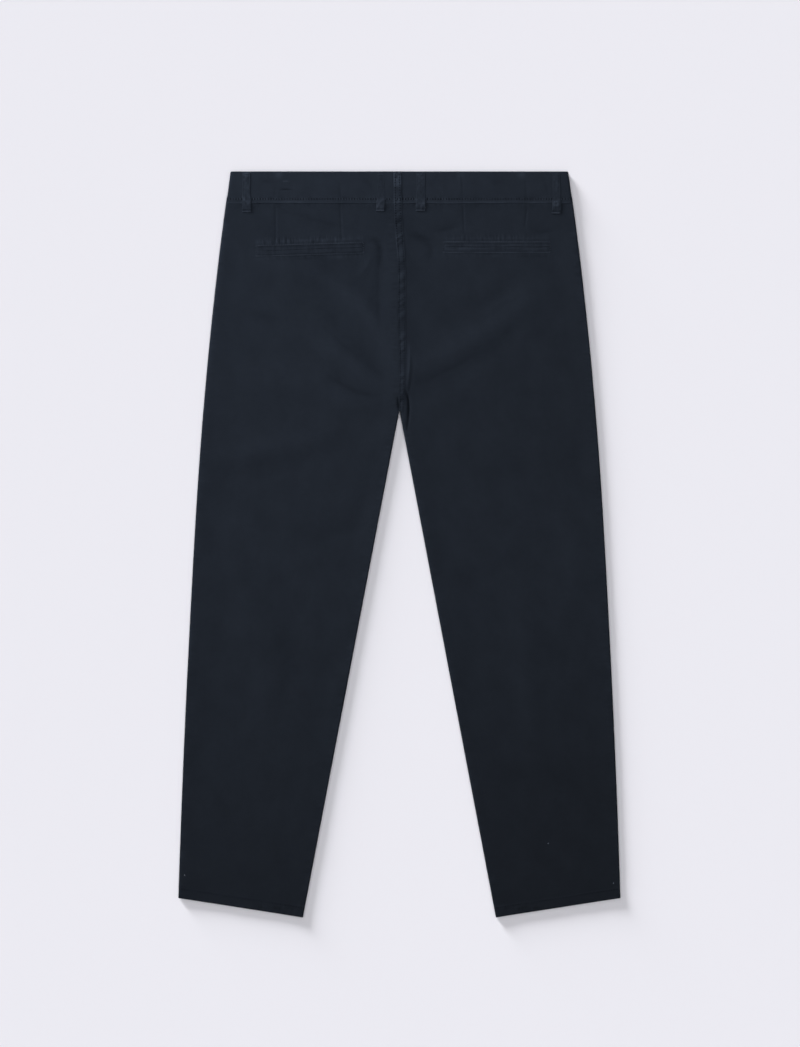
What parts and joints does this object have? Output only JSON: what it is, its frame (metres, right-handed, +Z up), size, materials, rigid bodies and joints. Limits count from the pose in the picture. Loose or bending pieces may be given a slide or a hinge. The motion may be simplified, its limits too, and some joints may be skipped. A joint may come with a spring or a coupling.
{
  "type": "chino trousers",
  "caption": "Dark navy cotton twill chino trousers laid flat, back side up: felled centre-back seam, jetted back pockets, belt loops, tapered legs with plain hems.",
  "frame": {"origin": "on the surface that the trousers lie on, under the middle of their bounding box, half way from the waist to the lower hem corners", "axes": "+X to the wearer's right, +Y up to the waist, +Z up from the surface, out of the back of the garment"},
  "size_m": [0.5928, 1, 0.0096],
  "materials": {
    "twill": "matt garment-dyed navy cotton twill, slightly mottled",
    "waistband_twill": "the same twill, doubled and firmer, worn slightly paler along its edges",
    "button": "dark horn-like button, satin"
  },
  "bodies": {
    "root": {"back_left": "twill", "back_right": "twill", "front_left": "twill", "front_right": "twill", "pocket_facing_left": "twill", "pocket_facing_right": "twill", "waistband_left": "waistband_twill", "waistband_right": "waistband_twill", "welt_upper_left": "twill", "welt_lower_left": "twill", "welt_upper_right": "twill", "welt_lower_right": "twill", "loop_side_left": "twill", "loop_back_left": "twill", "loop_back_right": "twill", "loop_side_right": "twill", "loop_front_left": "twill", "loop_front_right": "twill", "waist_button": "button"}
  },
  "joints": []
}
